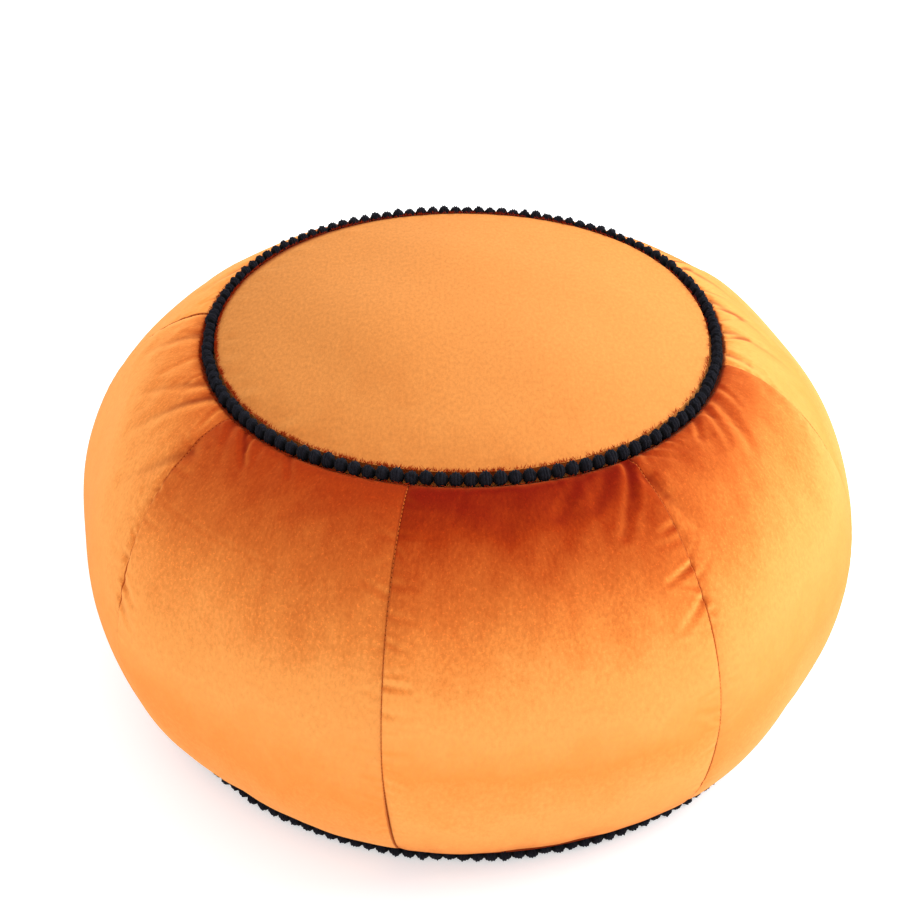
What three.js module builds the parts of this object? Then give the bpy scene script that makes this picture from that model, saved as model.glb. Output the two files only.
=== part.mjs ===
// Round velvet floor cushion. Eight gores run from a round top panel down to a round bottom
// panel, and a bobble braid is sewn over each of the two ring seams. Every cut panel is a solid
// of its own, filled through to the middle, and the panels stand 0.3 mm apart along their seams.
// Millimetres. +Z is up, the cushion rests on z = 0 and its front faces -Y.
import * as THREE from 'three';

// Overall shape
const widestRadius = 298.4;
const widestHeight = 122;
const topSeamRadius = 187.5;
const topBraidHeight = 277;
const bottomSeamRadius = 252.3;
const bottomRingRadius = 257.2;
const bottomRingHeight = 9;
const upperFullness = 1.785;
const backFullnessLoss = 0.65;
const lowerFullness = 1.684;
const leanAtTop = { x: -5.5, y: 3.9 };
const ringSquareness = 1.5;
const squareReach = 45;

// Gores: azimuths of the eight seams, in degrees from the front (-Y) towards +X
const seamAzimuths = [-97.6, -54.4, -10.6, 34.2, 76.2, 122.8, 169.3, 215.9];
const cornerSwell = 0.0093;
const partingGap = 0.3;
const seamDepth = 2.4;
const seamReach = 11;
const seamColumnOffsets = [0, 3.5, 8];
const columnsBetweenSeams = 8;
const goreRows = 17;
const firstRowDrop = 10;
const lastRowDrop = 326;

// The cloth dips towards the top ring seam
const ringDip = 3.6;
const ringDipReach = 15;

// Top panel
const crownRise = 21;
const crownBase = 275;
const crownRadius = 182;
const crownFullness = 2.6;
const topPanelUnderside = 240;
const domeRadii = [181, 178.5, 173, 163, 146, 120, 85, 45];
const panelSegments = 60;

// Bottom panel
const bottomPanelTop = 30;
const footRadius = 245.5;
const footEdge = [
  { inset: 1.8, height: 2.2 },
  { inset: 0, height: 6.4 },
];

// Bobble braids
const bobbleRadius = 4.9;
const neckShare = 0.62;
const shoulderShares = [0.27, 0.73];
const topBraid = { radius: 187.5, bobbles: 122, sides: 5, bobbleRadius, seatClearance: 0.6 };
const bottomBraid = { radius: 257.9, bobbles: 168, sides: 4, bobbleRadius: 5.9, seatClearance: 0.5 };
const topSeatAngles = [-90, -68, -46, -24];
const topPanelSeatAngles = [-90, -112, -135, -158, -180];
const bottomSeatAngles = [55, 90, 125, 160];

// Main soft creases of the gores. Each runs between two points of the surface. A point has an
// azimuth in degrees and a drop, its distance in mm down the surface from the top ring.
const creases = [
  { azimuth: 32, drop: 14, endAzimuth: 24, endDrop: 56, width: 11, depth: 2.2 },
  { azimuth: 38, drop: 40, endAzimuth: 41, endDrop: 66, width: 12, depth: 1.6 },
  { azimuth: 21, drop: 12, endAzimuth: 16, endDrop: 36, width: 11, depth: 1.7 },
  { azimuth: 62, drop: 12, endAzimuth: 57, endDrop: 50, width: 11, depth: 1.8 },
  { azimuth: 33, drop: 90, endAzimuth: 27, endDrop: 96, width: 10, depth: 1.8 },
  { azimuth: 33, drop: 120, endAzimuth: 28, endDrop: 128, width: 10, depth: 1.4 },
  { azimuth: -47, drop: 12, endAzimuth: -42, endDrop: 30, width: 10, depth: 1.7 },
  { azimuth: -51, drop: 80, endAzimuth: -29, endDrop: 82, width: 10, depth: 1.5 },
  { azimuth: -63, drop: 14, endAzimuth: -71, endDrop: 74, width: 12, depth: 1.7 },
  { azimuth: -79, drop: 12, endAzimuth: -84, endDrop: 60, width: 12, depth: 1.5 },
  { azimuth: -53, drop: 150, endAzimuth: -49, endDrop: 170, width: 10, depth: 1.5 },
  { azimuth: 88, drop: 12, endAzimuth: 86, endDrop: 62, width: 12, depth: 1.6 },
  { azimuth: 103, drop: 12, endAzimuth: 95, endDrop: 48, width: 12, depth: 1.7 },
  { azimuth: 118, drop: 18, endAzimuth: 108, endDrop: 42, width: 12, depth: 1.6 },
  { azimuth: 140, drop: 12, endAzimuth: 146, endDrop: 48, width: 12, depth: 1.6 },
  { azimuth: 186, drop: 12, endAzimuth: 181, endDrop: 52, width: 12, depth: 1.7 },
  { azimuth: 204, drop: 14, endAzimuth: 207, endDrop: 44, width: 12, depth: 1.5 },
  { azimuth: 238, drop: 10, endAzimuth: 250, endDrop: 32, width: 12, depth: 1.6 },
];

const velvet = { color: 0xe27a2c, roughness: 0.86, metalness: 0 };
const yarn = { color: 0x1c1c22, roughness: 0.95, metalness: 0 };

const radians = THREE.MathUtils.degToRad;
const halfGap = partingGap / 2;

// The cushion leans a little, so its top sits off the axis of its base
const lean = new THREE.Matrix4().makeShear(
  0, 0, 0, 0, leanAtTop.x / topBraidHeight, leanAtTop.y / topBraidHeight,
);

// The top ring is pulled out a little at its four diagonals, and everything near it moves along
function settle(geometry) {
  const position = geometry.attributes.position;
  const point = new THREE.Vector3();
  for (let i = 0; i < position.count; i += 1) {
    point.fromBufferAttribute(position, i);
    const radius = Math.hypot(point.x, point.y);
    const away = Math.hypot(radius - topSeamRadius, point.z - topBraidHeight) / squareReach;
    const pull = -ringSquareness * Math.cos(4 * Math.atan2(point.x, -point.y));
    const stretch = radius > 1 ? 1 + (pull * Math.exp(-(away ** 2))) / radius : 1;
    position.setXYZ(i, point.x * stretch, point.y * stretch, point.z);
  }
  return geometry.applyMatrix4(lean);
}

// The meridian: two quarter superellipses that meet at the widest ring.
// level is 1 at the top ring, 0 at the widest and -1 at the bottom ring.
// The shoulder under the top ring is less full at the back than at the front.
function meridian(level, azimuth = 0) {
  const upper = level >= 0;
  const turn = (Math.abs(level) * Math.PI) / 2;
  const shoulder = level ** 2 * (1 - level ** 8);
  const loss = backFullnessLoss * shoulder * Math.max(-Math.cos(radians(azimuth)), 0);
  const power = 2 / (upper ? upperFullness - loss : lowerFullness);
  const outward = Math.max(Math.cos(turn), 0) ** power;
  const along = Math.sin(turn) ** power;
  const ringRadius = upper ? topSeamRadius : bottomRingRadius;
  const ringHeight = upper ? topBraidHeight : bottomRingHeight;
  return {
    radius: ringRadius + (widestRadius - ringRadius) * outward,
    height: widestHeight + (ringHeight - widestHeight) * along,
    outward,
  };
}

// Lengths along the meridian, so that a level can be found from its drop
const meridianSteps = 600;
const meridianSamples = [{ level: 1, drop: 0 }];
for (let i = 1; i <= meridianSteps; i += 1) {
  const level = 1 - (2 * i) / meridianSteps;
  const last = meridianSamples[i - 1];
  const from = meridian(last.level);
  const to = meridian(level);
  const step = Math.hypot(to.radius - from.radius, to.height - from.height);
  meridianSamples.push({ level, drop: last.drop + step });
}

function levelAt(drop) {
  const next = meridianSamples.findIndex((sample) => sample.drop >= drop);
  const b = meridianSamples[next];
  const a = meridianSamples[next - 1];
  return a.level + ((b.level - a.level) * (drop - a.drop)) / (b.drop - a.drop);
}

// How far the creases draw the cloth in at one point
function creaseDepth(azimuth, drop, radius) {
  let depth = 0;
  for (const crease of creases) {
    const x = radians(azimuth - crease.azimuth) * radius;
    const y = drop - crease.drop;
    const runX = radians(crease.endAzimuth - crease.azimuth) * radius;
    const runY = crease.endDrop - crease.drop;
    const share = (x * runX + y * runY) / (runX * runX + runY * runY);
    const along = THREE.MathUtils.clamp(share, 0, 1);
    const away = Math.hypot(x - along * runX, y - along * runY);
    depth += crease.depth * Math.exp(-((away / crease.width) ** 2));
  }
  return depth;
}

// A seat is an arc round a braid's centre line, just clear of its bobbles
function seatPoint(braid, centreHeight, angle) {
  const reach = braid.bobbleRadius + braid.seatClearance;
  return {
    radius: braid.radius + reach * Math.cos(radians(angle)),
    height: centreHeight + reach * Math.sin(radians(angle)),
  };
}

// A bobble of few sides rests on its lowest side
const bottomBraidHeight = bottomBraid.bobbleRadius * Math.cos(Math.PI / bottomBraid.sides);

// A gore's section is a list of rows. A row gives the point at a share of the gore's span,
// from 0 at its left seam to 1 at its right seam. On a ring row the point is the same all round,
// and on a skin row it is a point of the soft skin at one drop.
const skinDrops = Array.from({ length: goreRows }, (_, i) =>
  firstRowDrop + ((lastRowDrop - firstRowDrop) * i) / (goreRows - 1),
);
const ringRow = (point) => () => point;
const skinRow = (drop) => (share, from, span) => {
  const level = levelAt(drop);
  const azimuth = from + share * span;
  const { radius, height, outward } = meridian(level, azimuth);
  const ahead = meridian(level - 0.002, azimuth);
  const slope = Math.atan2(ahead.height - height, ahead.radius - radius);
  const swell = cornerSwell * outward * Math.cos(2 * Math.PI * share);
  const seamDistance = radians(Math.min(share, 1 - share) * span) * radius;
  const seam = seamDepth * Math.max(1 - seamDistance / seamReach, 0) ** 2;
  const dip = ringDip * Math.max(1 - drop / ringDipReach, 0) ** 2;
  const drawnIn = seam + dip + creaseDepth(azimuth, drop, radius);
  return {
    radius: radius * (1 + swell) + drawnIn * Math.sin(slope),
    height: height - drawnIn * Math.cos(slope),
  };
};
const goreSection = [
  ringRow({ radius: topSeamRadius + halfGap, height: topPanelUnderside - partingGap }),
  ...topSeatAngles.map((angle) => {
    const point = seatPoint(topBraid, topBraidHeight, angle);
    return ringRow({ ...point, radius: Math.max(point.radius, topSeamRadius + halfGap) });
  }),
  ...skinDrops.map(skinRow),
  ...bottomSeatAngles.map((angle) => {
    const point = seatPoint(bottomBraid, bottomBraidHeight, angle);
    return ringRow({ ...point, radius: Math.max(point.radius, bottomSeamRadius + halfGap) });
  }),
  ringRow({ radius: bottomSeamRadius + halfGap, height: bottomPanelTop + partingGap }),
];

// Columns of a gore: near each seam at fixed distances from it, evenly spread between
function goreColumns() {
  const left = seamColumnOffsets.map((offset) => ({ share: 0, offset }));
  const right = [...seamColumnOffsets].reverse().map((offset) => ({ share: 1, offset: -offset }));
  const middle = Array.from({ length: columnsBetweenSeams }, (_, i) => ({
    share: (i + 1) / (columnsBetweenSeams + 1),
    offset: 0,
  }));
  return [...left, ...middle, ...right];
}

// A wedge of the cushion between two seam planes, each half a gap clear of its seam
function goreGeometry(from, to) {
  const span = to - from;
  const columns = goreColumns();
  const vertices = [];
  const faces = [];
  const middle = radians((from + to) / 2);
  const tipRadius = halfGap / Math.sin(radians(span / 2));
  const tip = (height) => [tipRadius * Math.sin(middle), -tipRadius * Math.cos(middle), height];
  const rowCount = goreSection.length;
  for (const { share, offset } of columns) {
    const onSeam = offset === 0 && (share === 0 || share === 1);
    const inset = onSeam ? halfGap * (1 - 2 * share) : 0;
    for (const row of goreSection) {
      const shift = THREE.MathUtils.radToDeg(offset / row(share, from, span).radius);
      const place = share + shift / span;
      const { radius, height } = row(place, from, span);
      const turn = radians(from + place * span);
      vertices.push(
        radius * Math.sin(turn) + inset * Math.cos(turn),
        -radius * Math.cos(turn) + inset * Math.sin(turn),
        height,
      );
    }
  }
  const topTip = vertices.length / 3;
  vertices.push(...tip(topPanelUnderside - partingGap));
  const bottomTip = topTip + 1;
  vertices.push(...tip(bottomPanelTop + partingGap));
  const at = (column, row) => column * rowCount + row;
  const lastColumn = columns.length - 1;
  for (let c = 0; c < lastColumn; c += 1) {
    for (let r = 0; r < rowCount - 1; r += 1) {
      faces.push(at(c, r), at(c, r + 1), at(c + 1, r));
      faces.push(at(c + 1, r), at(c, r + 1), at(c + 1, r + 1));
    }
    faces.push(topTip, at(c, 0), at(c + 1, 0));
    faces.push(bottomTip, at(c + 1, rowCount - 1), at(c, rowCount - 1));
  }
  // The two flat sides of the wedge
  for (const c of [0, lastColumn]) {
    const ring = [topTip, ...goreSection.map((_, r) => at(c, r)), bottomTip];
    const outline = ring.map((i) => new THREE.Vector2(
      Math.hypot(vertices[3 * i], vertices[3 * i + 1]),
      vertices[3 * i + 2],
    ));
    for (const [a, b, d] of THREE.ShapeUtils.triangulateShape(outline, [])) {
      const face = [ring[a], ring[b], ring[d]];
      const up = outline[b].clone().sub(outline[a]).cross(outline[d].clone().sub(outline[a])) > 0;
      faces.push(...(up === (c === 0) ? face : face.reverse()));
    }
  }
  return solid(vertices, faces);
}

function solid(vertices, faces) {
  const geometry = new THREE.BufferGeometry();
  geometry.setAttribute('position', new THREE.Float32BufferAttribute(vertices, 3));
  geometry.setIndex(faces);
  settle(geometry);
  geometry.computeVertexNormals();
  return geometry;
}

// A panel turned round the axis from its section, listed from the axis up its outside
function roundPanelGeometry(section) {
  const points = section.map(({ radius, height }) => new THREE.Vector2(radius, height));
  return settle(new THREE.LatheGeometry(points, panelSegments).rotateX(Math.PI / 2));
}

function topPanelGeometry() {
  const edge = topSeamRadius - halfGap;
  const seat = topPanelSeatAngles.map((angle) => {
    const point = seatPoint(topBraid, topBraidHeight, angle);
    return { ...point, radius: Math.min(point.radius, edge) };
  });
  const dome = domeRadii.map((radius) => ({
    radius,
    height: crownBase
      + crownRise * (1 - (radius / crownRadius) ** crownFullness) ** (1 / crownFullness),
  }));
  return roundPanelGeometry([
    { radius: 0, height: topPanelUnderside },
    { radius: edge, height: topPanelUnderside },
    ...seat,
    ...dome,
    { radius: 0, height: crownBase + crownRise },
  ]);
}

function bottomPanelGeometry() {
  const edge = bottomSeamRadius - halfGap;
  return roundPanelGeometry([
    { radius: 0, height: 0 },
    { radius: footRadius, height: 0 },
    ...footEdge.map(({ inset, height }) => ({ radius: edge - inset, height })),
    { radius: edge, height: bottomPanelTop },
    { radius: 0, height: bottomPanelTop },
  ]);
}

// A ring of touching bobbles, swollen out of one continuous core
function braidGeometry(braid, centreHeight) {
  const sections = [{ share: 0, radius: braid.bobbleRadius * neckShare }];
  for (const share of shoulderShares) sections.push({ share, radius: braid.bobbleRadius });
  const rings = braid.bobbles * sections.length;
  const vertices = [];
  const faces = [];
  for (let i = 0; i < rings; i += 1) {
    const section = sections[i % sections.length];
    const bobble = Math.floor(i / sections.length) + section.share;
    const turn = (2 * Math.PI * bobble) / braid.bobbles;
    for (let side = 0; side < braid.sides; side += 1) {
      const angle = -Math.PI / 2 + (Math.PI * (2 * side + 1)) / braid.sides;
      const radius = braid.radius + section.radius * Math.cos(angle);
      const height = centreHeight + section.radius * Math.sin(angle);
      vertices.push(radius * Math.sin(turn), -radius * Math.cos(turn), height);
      const a = i * braid.sides + side;
      const b = i * braid.sides + ((side + 1) % braid.sides);
      const ahead = ((i + 1) % rings) * braid.sides;
      const c = ahead + side;
      const d = ahead + ((side + 1) % braid.sides);
      faces.push(a, c, b, b, c, d);
    }
  }
  return solid(vertices, faces);
}

const cushion = new THREE.Group();

function add(name, geometry, finish) {
  const mesh = new THREE.Mesh(geometry, new THREE.MeshStandardMaterial(finish));
  mesh.name = name;
  cushion.add(mesh);
}

add('top_panel', topPanelGeometry(), velvet);
seamAzimuths.forEach((azimuth, i) => {
  const next = i + 1 < seamAzimuths.length ? seamAzimuths[i + 1] : seamAzimuths[0] + 360;
  add(`side_panel_${i + 1}`, goreGeometry(azimuth, next), velvet);
});
add('bottom_panel', bottomPanelGeometry(), velvet);
add('top_trim', braidGeometry(topBraid, topBraidHeight), yarn);
add('bottom_trim', braidGeometry(bottomBraid, bottomBraidHeight), yarn);

export default cushion;
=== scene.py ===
# %% [markdown]
# # A round velvet floor cushion
# This is a pouf of burnt orange velvet: eight gores between a round top and a round base, with a
# black bobble braid sewn over the two ring seams. The construction solids give its true size.
# This lesson dresses them: fine cloth skins with creases, wound yarn, thread and pile.

# %% Open the frame
import math
from collections import namedtuple

import bpy
import numpy as np
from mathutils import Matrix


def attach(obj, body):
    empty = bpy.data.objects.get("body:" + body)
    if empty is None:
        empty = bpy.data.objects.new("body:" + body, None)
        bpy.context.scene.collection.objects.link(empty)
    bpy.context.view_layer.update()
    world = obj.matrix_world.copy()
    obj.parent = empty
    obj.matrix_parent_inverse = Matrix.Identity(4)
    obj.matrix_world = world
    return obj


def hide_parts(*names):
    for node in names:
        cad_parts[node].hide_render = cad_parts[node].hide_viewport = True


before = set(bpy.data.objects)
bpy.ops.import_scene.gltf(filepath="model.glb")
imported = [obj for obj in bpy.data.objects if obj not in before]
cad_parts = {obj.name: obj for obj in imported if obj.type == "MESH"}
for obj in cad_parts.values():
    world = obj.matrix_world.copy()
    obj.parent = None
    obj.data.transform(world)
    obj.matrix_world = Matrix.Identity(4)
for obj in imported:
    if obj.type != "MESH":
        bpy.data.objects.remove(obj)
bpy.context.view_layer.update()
MM = 0.001
scene = bpy.context.scene

# %% [markdown]
# ## The camera
# The camera comes first, so that every later choice can be judged in its view. Its angle,
# distance and lens were worked out from the photograph: the top braid is a circle seen as an
# ellipse, and the bobbles at the back look smaller than those in front, which gives the lens.

# %% Camera
aim = (-10.9 * MM, 0.0, 165.3 * MM)
camera_elevation = math.radians(35.85)
camera_distance = 1242.4 * MM
photo_side_px = 910
focal_px = 1600
sensor_width = 36.0

camera_data = bpy.data.cameras.new("camera")
camera_data.sensor_width = sensor_width
camera_data.lens = sensor_width * focal_px / photo_side_px
camera = bpy.data.objects.new("camera", camera_data)
camera.location = (
    aim[0],
    aim[1] - camera_distance * math.cos(camera_elevation),
    aim[2] + camera_distance * math.sin(camera_elevation),
)
camera.rotation_euler = (math.pi / 2 - camera_elevation, 0, 0)
scene.collection.objects.link(camera)
scene.camera = camera
print("lens", round(camera_data.lens, 1), "mm")

# %% [markdown]
# ## The meridian
# A gored cushion is nearly a solid of revolution, so its shape is one curve from the top braid,
# over the belly, to the bottom braid. It could be drawn with a spline of many points. Two quarter
# superellipses need only a few named sizes, and they meet smoothly at the widest ring.
# A level runs from 1 at the top ring to 0 at the belly and -1 at the bottom ring, and a drop is
# the distance along the cloth from the top ring, as a tailor would measure it. The photograph's
# outline also shows a shoulder that falls away sooner at the back, and a top ring that the
# filling pulls very slightly square.

# %% Meridian
widest_radius = 298.4 * MM
widest_height = 122 * MM
top_ring_radius = 187.5 * MM
top_ring_height = 277 * MM
bottom_ring_radius = 257.2 * MM
bottom_ring_height = 9 * MM
upper_fullness = 1.785
lower_fullness = 1.684
back_fullness_loss = 0.65
lean_at_top = np.array([-5.5, 3.9])
lean_per_height = lean_at_top / (top_ring_height / MM)
ring_squareness = 1.5 * MM
square_reach = 45 * MM


def meridian(level, azimuth=0.0):
    """Radius and height at a level, and a share that is 1 at the belly and 0 at both rings."""
    upper = level >= 0
    turn = np.abs(level) * np.pi / 2
    shoulder = level**2 * (1 - level**8) * np.clip(-np.cos(np.radians(azimuth)), 0, 1)
    power = 2 / np.where(upper, upper_fullness - back_fullness_loss * shoulder, lower_fullness)
    outward = np.clip(np.cos(turn), 0, 1) ** power
    along = np.sin(turn) ** power
    ring_radius = np.where(upper, top_ring_radius, bottom_ring_radius)
    ring_height = np.where(upper, top_ring_height, bottom_ring_height)
    radius = ring_radius + (widest_radius - ring_radius) * outward
    height = widest_height + (ring_height - widest_height) * along
    return radius, height, outward


sample_levels = np.linspace(1, -1, 4001)
sample_radii, sample_heights, _ = meridian(sample_levels)
steps = np.hypot(np.diff(sample_radii), np.diff(sample_heights))
sample_drops = np.concatenate([[0], np.cumsum(steps)])
ring_to_ring = sample_drops[-1]


def level_at(drop):
    """The level at a distance along the cloth from the top ring."""
    return np.interp(drop, sample_drops, sample_levels)


def placed(radius, azimuth, height):
    """Points at an azimuth in degrees, from the front (-Y) towards +X, on the leaning cushion."""
    turn = np.radians(azimuth)
    away = np.hypot(radius - top_ring_radius, height - top_ring_height) / square_reach
    radius = radius - ring_squareness * np.cos(4 * turn) * np.exp(-(away**2))
    x = radius * np.sin(turn) + lean_per_height[0] * height
    y = -radius * np.cos(turn) + lean_per_height[1] * height
    return np.stack(np.broadcast_arrays(x, y, height), axis=-1)


print("cloth from ring to ring:", round(ring_to_ring / MM), "mm")

# %% [markdown]
# ## Meshes from grids
# Every skin here is a grid of rows and columns, worked out with numpy and handed to Blender in
# one call. Modelling by hand would be slower, and a subdivision surface would round off the
# creases. The map "cloth" holds distances along the cloth in metres, so that the pile lies true,
# and the map "edge" holds the distance to the nearest braid and to the nearest seam or tuck.

# %% Mesh helpers
def grid_faces(columns, rows, closed=False, tube=False):
    """Four-sided faces of a grid of points, which may close on itself in one way or in both."""
    index = np.arange(columns * rows).reshape(columns, rows)
    if closed:
        index = np.vstack([index, index[:1]])
    if tube:
        index = np.hstack([index, index[:, :1]])
    corners = (index[:-1, :-1], index[:-1, 1:], index[1:, 1:], index[1:, :-1])
    return np.stack(corners, axis=-1).reshape(-1, 4)


def new_piece(name, points, faces, maps=None, sharp=60):
    """An object from points and faces, smooth but for edges sharper than an angle in degrees."""
    mesh = bpy.data.meshes.new(name)
    mesh.from_pydata(np.asarray(points).tolist(), [], [list(map(int, f)) for f in faces])
    corner_vertex = np.empty(len(mesh.loops), int)
    mesh.loops.foreach_get("vertex_index", corner_vertex)
    for map_name, uv in (maps or {}).items():
        layer = mesh.uv_layers.new(name=map_name)
        layer.data.foreach_set("uv", np.asarray(uv)[corner_vertex].ravel())
    mesh.shade_smooth()
    mesh.set_sharp_from_angle(angle=math.radians(sharp))
    mesh.validate()
    piece = bpy.data.objects.new(name, mesh)
    scene.collection.objects.link(piece)
    return piece


def waves(x, y, scale, seed, count=9):
    """Smooth, even noise between about -1 and 1: a sum of plane waves of about one size."""
    random = np.random.default_rng(seed)
    total = np.zeros(np.broadcast(x, y).shape)
    for _ in range(count):
        turn = random.uniform(0, 2 * np.pi)
        pitch = scale * random.uniform(0.7, 1.5)
        phase = random.uniform(0, 2 * np.pi)
        total += np.sin((x * np.cos(turn) + y * np.sin(turn)) * 2 * np.pi / pitch + phase)
    return total / math.sqrt(count)


sample = waves(np.linspace(0, 1, 200), 0.0, scale=0.1, seed=1)
print("a sample of the noise runs from", round(sample.min(), 2), "to", round(sample.max(), 2))

# %% [markdown]
# ## Creases
# Velvet is stiff, so the fullness that is eased into a seam shows as short tucks that fan out
# from the braid and as small puckers beside the seams. A simulation makes tucks of its own, but
# not these, so the ones that the photograph shows are listed one by one: each is a soft trough
# from one point of the cloth to another, with a low ridge on either side where the cloth goes.

# %% Creases
Crease = namedtuple("Crease", "azimuth drop end_azimuth end_drop width depth")
seen_creases = [Crease(*row) for row in (
    (22.5, 7, 16.0, 34, 4.0, 0.7), (28.5, 7, 23.0, 33, 3.8, 0.6),
    (33.2, 8, 25.5, 56, 3.8, 1.4), (32.6, 8, 29.5, 40, 2.4, 0.7),
    (34.0, 22, 38.0, 66, 5.0, 1.0), (37.5, 7, 44.0, 27, 2.4, 0.7),
    (41.0, 7, 50.0, 34, 2.2, 0.5), (44.5, 6, 53.0, 24, 2.0, 0.5),
    (53.8, 6, 50.0, 20, 2.6, 1.0), (58.5, 6, 54.2, 36, 3.4, 1.0),
    (62.5, 7, 57.5, 52, 4.4, 0.8), (67.0, 7, 65.0, 24, 3.0, 0.5),
    (34.0, 60, 31.5, 62, 2.4, 0.8), (34.0, 88, 29.5, 93, 2.4, 1.0),
    (34.2, 111, 30.0, 124, 3.0, 0.9), (-48.2, 6, -42.5, 28, 2.6, 1.5),
    (-46.0, 6, -44.5, 18, 2.0, 1.2), (-52.0, 8, -46.5, 36, 3.4, 0.7),
    (-36.0, 6, -33.0, 20, 2.6, 0.7), (-53.0, 79, -29.0, 81, 1.4, 0.22),
    (-63.0, 9, -71.5, 74, 5.5, 1.0), (-68.5, 8, -79.0, 63, 5.5, 0.9),
    (-53.6, 42, -65.0, 99, 6.0, 1.0), (-88.0, 8, -90.0, 56, 6.0, 0.9),
    (-54.6, 76, -57.6, 86, 3.0, 1.0), (-54.8, 85, -57.4, 94, 2.8, 0.9),
    (-55.0, 130, -59.0, 134, 3.2, 0.8), (-54.2, 148, -51.0, 156, 3.2, 0.9),
    (-54.2, 163, -50.6, 175, 3.4, 1.0), (-10.2, 137, -7.3, 138, 2.6, 0.8),
    (-10.2, 156, -7.6, 157, 2.6, 0.6), (-10.4, 188, -6.8, 189, 2.6, 0.25),
    (-11.4, 191, -15.0, 188, 2.8, 0.25), (118.5, 18, 107.0, 41, 5.5, 1.1),
    (103.0, 8, 93.0, 48, 5.5, 1.1), (89.8, 6, 86.5, 62, 5.5, 1.0),
    (238.0, 8, 250.0, 30, 5.5, 1.0),
)]

# The ridges beside a trough, as shares of its depth and width, and how much it fades to its end
ridge_height = 0.3
ridge_place = 1.8
ridge_softness = 0.6
fade_along = 0.55


def draw_in(creases, azimuth, drop, radius):
    """How far a list of creases moves the cloth outwards (ridges) or inwards (troughs)."""
    height = np.zeros(np.broadcast(azimuth, drop).shape)
    for crease in creases:
        x = np.radians(azimuth - crease.azimuth) * radius
        y = drop - crease.drop * MM
        run_x = np.radians(crease.end_azimuth - crease.azimuth) * radius
        run_y = (crease.end_drop - crease.drop) * MM
        share = (x * run_x + y * run_y) / (run_x**2 + run_y**2)
        along = np.clip(share, 0, 1)
        away = np.hypot(x - along * run_x, y - along * run_y) / (crease.width * MM)
        fade = 1 - fade_along * along
        ridge = ridge_height * np.exp(-((away - ridge_place) ** 2) / ridge_softness)
        height += crease.depth * MM * fade * (ridge - np.exp(-(away**2)))
    return height


print(len(seen_creases), "creases placed from the photograph")

# %% [markdown]
# ## Puckers that nobody placed
# Between the creases that the photograph shows, and on the hidden gores, every seam has small
# puckers where the thread was pulled tight. Drawing each one would be dull and look regular, so a
# seeded random generator sets them out along the seams and under the braid, the same each run.
# Tucks are deeper on the gores that hardly show, because few creases there are listed.

# %% Random puckers
seam_azimuths = [-97.6, -54.4, -10.6, 34.2, 76.2, 122.8, 169.3, 215.9]
gore_ends = seam_azimuths[1:] + [seam_azimuths[0] + 360]
pucker_end = 315

# Gores that start past this azimuth hardly show, and their tucks may be deeper, in millimetres
hidden_from = 70
hidden_depths = (0.5, 1.3)
seen_depths = (0.1, 0.5)
pucker_random = np.random.default_rng(7)


def seam_puckers(seam, side):
    """Short puckers that leave a seam towards one side, -1 for left and 1 for right."""
    made = []
    drop = pucker_random.uniform(14, 26)
    while drop < pucker_end:
        length = pucker_random.uniform(1.0, 3.8)
        rise = pucker_random.uniform(-9, 9)
        width = pucker_random.uniform(1.3, 2.8)
        depth = pucker_random.uniform(0.12, 0.5)
        start = seam + side * 0.4
        made.append(Crease(start, drop, start + side * length, drop + rise, width, depth))
        drop += pucker_random.uniform(6, 26)
    return made


def ring_tucks(start, end, least, most):
    """Tucks that run down from the braid, between two azimuths."""
    made = []
    azimuth = start + pucker_random.uniform(2, 5)
    while azimuth < end - 2:
        length = pucker_random.uniform(10, 34)
        swing = pucker_random.uniform(-4, 4)
        width = pucker_random.uniform(1.8, 3.6)
        depth = pucker_random.uniform(least, most)
        made.append(Crease(azimuth, 6, azimuth + swing, 6 + length, width, depth))
        azimuth += pucker_random.uniform(4, 9)
    return made


gore_creases = []
for left, right in zip(seam_azimuths, gore_ends):
    depths = hidden_depths if left > hidden_from else seen_depths
    puckers = seam_puckers(left, 1) + seam_puckers(right, -1)
    tucks = ring_tucks(left, right, *depths)
    seen = [c for c in seen_creases if left - 2 < c.azimuth < right + 2]
    gore_creases.append(seen + puckers + tucks)
print([len(creases) for creases in gore_creases], "creases and puckers on the gores")

# %% [markdown]
# ## Seats for the braid
# A bobble braid sinks into the soft edge that it is sewn to. The cloth passes under it, so each
# panel ends in an arc round the braid's centre line, just clear of the bobbles. Where it goes in
# out of sight, the panel follows its construction solid down into the filling.

# %% Section rows
half_gap = 0.15 * MM
bobble_radius = 4.8 * MM
seat_radius = 5.4 * MM
bottom_braid_radius = 257.9 * MM
bottom_braid_height = bobble_radius
bottom_seam_radius = 252.3 * MM
top_panel_underside = 240 * MM
bottom_panel_top = 30 * MM
parting = 2 * half_gap


def seat(ring_radius, ring_height, angles, least=0.0, most=1.0):
    """Radius and height of points round a braid's centre line, at angles in degrees."""
    turn = np.radians(angles)
    radius = np.clip(ring_radius + seat_radius * np.cos(turn), least, most)
    return np.stack([radius, ring_height + seat_radius * np.sin(turn)], axis=-1)


gore_inner = top_ring_radius + half_gap
gore_foot = bottom_seam_radius + half_gap
top_seat = seat(top_ring_radius, top_ring_height, np.linspace(-90, -24, 7), least=gore_inner)
bottom_seat = seat(
    bottom_braid_radius, bottom_braid_height, np.linspace(52, 165, 8), least=gore_foot
)
print("seats of", len(top_seat), "and", len(bottom_seat), "rows")

# %% [markdown]
# ## Wrinkles from a cloth simulation
# A gored cover is filled tight, but its seams and rings hold the cloth a little shorter than the
# cloth between them, so it ripples where it is eased in. Blender's cloth solver finds such
# ripples by itself. A coarse cover of all eight gores is pinned along every seam and both rings,
# made slightly too big for its pins, and blown out from inside for a few frames. Only the fine
# ripples are kept, because the meridian already holds the true size.

# %% Coarse cover
corner_swell = 0.0093
cover_columns = 30
cover_rows = 80

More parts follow.
